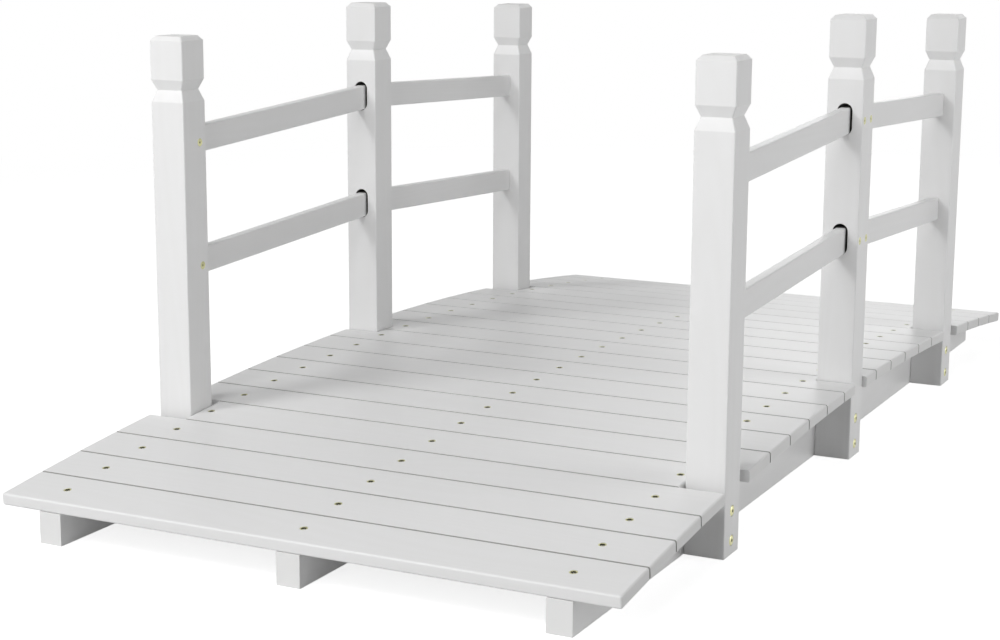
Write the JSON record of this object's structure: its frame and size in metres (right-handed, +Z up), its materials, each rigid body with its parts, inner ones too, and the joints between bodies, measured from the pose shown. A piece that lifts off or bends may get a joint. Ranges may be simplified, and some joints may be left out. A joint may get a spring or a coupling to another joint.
{
  "type": "garden footbridge",
  "caption": "Arched white-painted wooden garden footbridge: crosswise deck boards on straight-footed beams, with grooved square posts and sloping double rails along both sides.",
  "frame": {"origin": "on the ground under the middle of the deck, at the foot of the middle beam", "axes": "+X along the span, towards the far end; +Y to the left across the deck; +Z up"},
  "size_m": [1.5234, 0.73, 0.5475],
  "materials": {
    "painted_wood": "white satin paint"
  },
  "bodies": {
    "root": {"beam_left": "painted_wood", "beam_middle": "painted_wood", "beam_right": "painted_wood", "deck_board_01": "painted_wood", "deck_board_02": "painted_wood", "deck_board_03": "painted_wood", "deck_board_04": "painted_wood", "deck_board_05": "painted_wood", "deck_board_06": "painted_wood", "deck_board_07": "painted_wood", "deck_board_08": "painted_wood", "deck_board_09": "painted_wood", "deck_board_10": "painted_wood", "deck_board_11": "painted_wood", "deck_board_12": "painted_wood", "deck_board_13": "painted_wood", "deck_board_14": "painted_wood", "deck_board_15": "painted_wood", "deck_board_16": "painted_wood", "deck_board_17": "painted_wood", "deck_board_18": "painted_wood", "deck_board_19": "painted_wood", "deck_board_20": "painted_wood", "deck_board_21": "painted_wood", "deck_board_22": "painted_wood", "post_left_far": "painted_wood", "post_left_middle": "painted_wood", "post_left_near": "painted_wood", "post_right_far": "painted_wood", "post_right_middle": "painted_wood", "post_right_near": "painted_wood", "rail_left_far_lower": "painted_wood", "rail_left_far_upper": "painted_wood", "rail_left_near_lower": "painted_wood", "rail_left_near_upper": "painted_wood", "rail_right_far_lower": "painted_wood", "rail_right_far_upper": "painted_wood", "rail_right_near_lower": "painted_wood", "rail_right_near_upper": "painted_wood"}
  },
  "joints": []
}
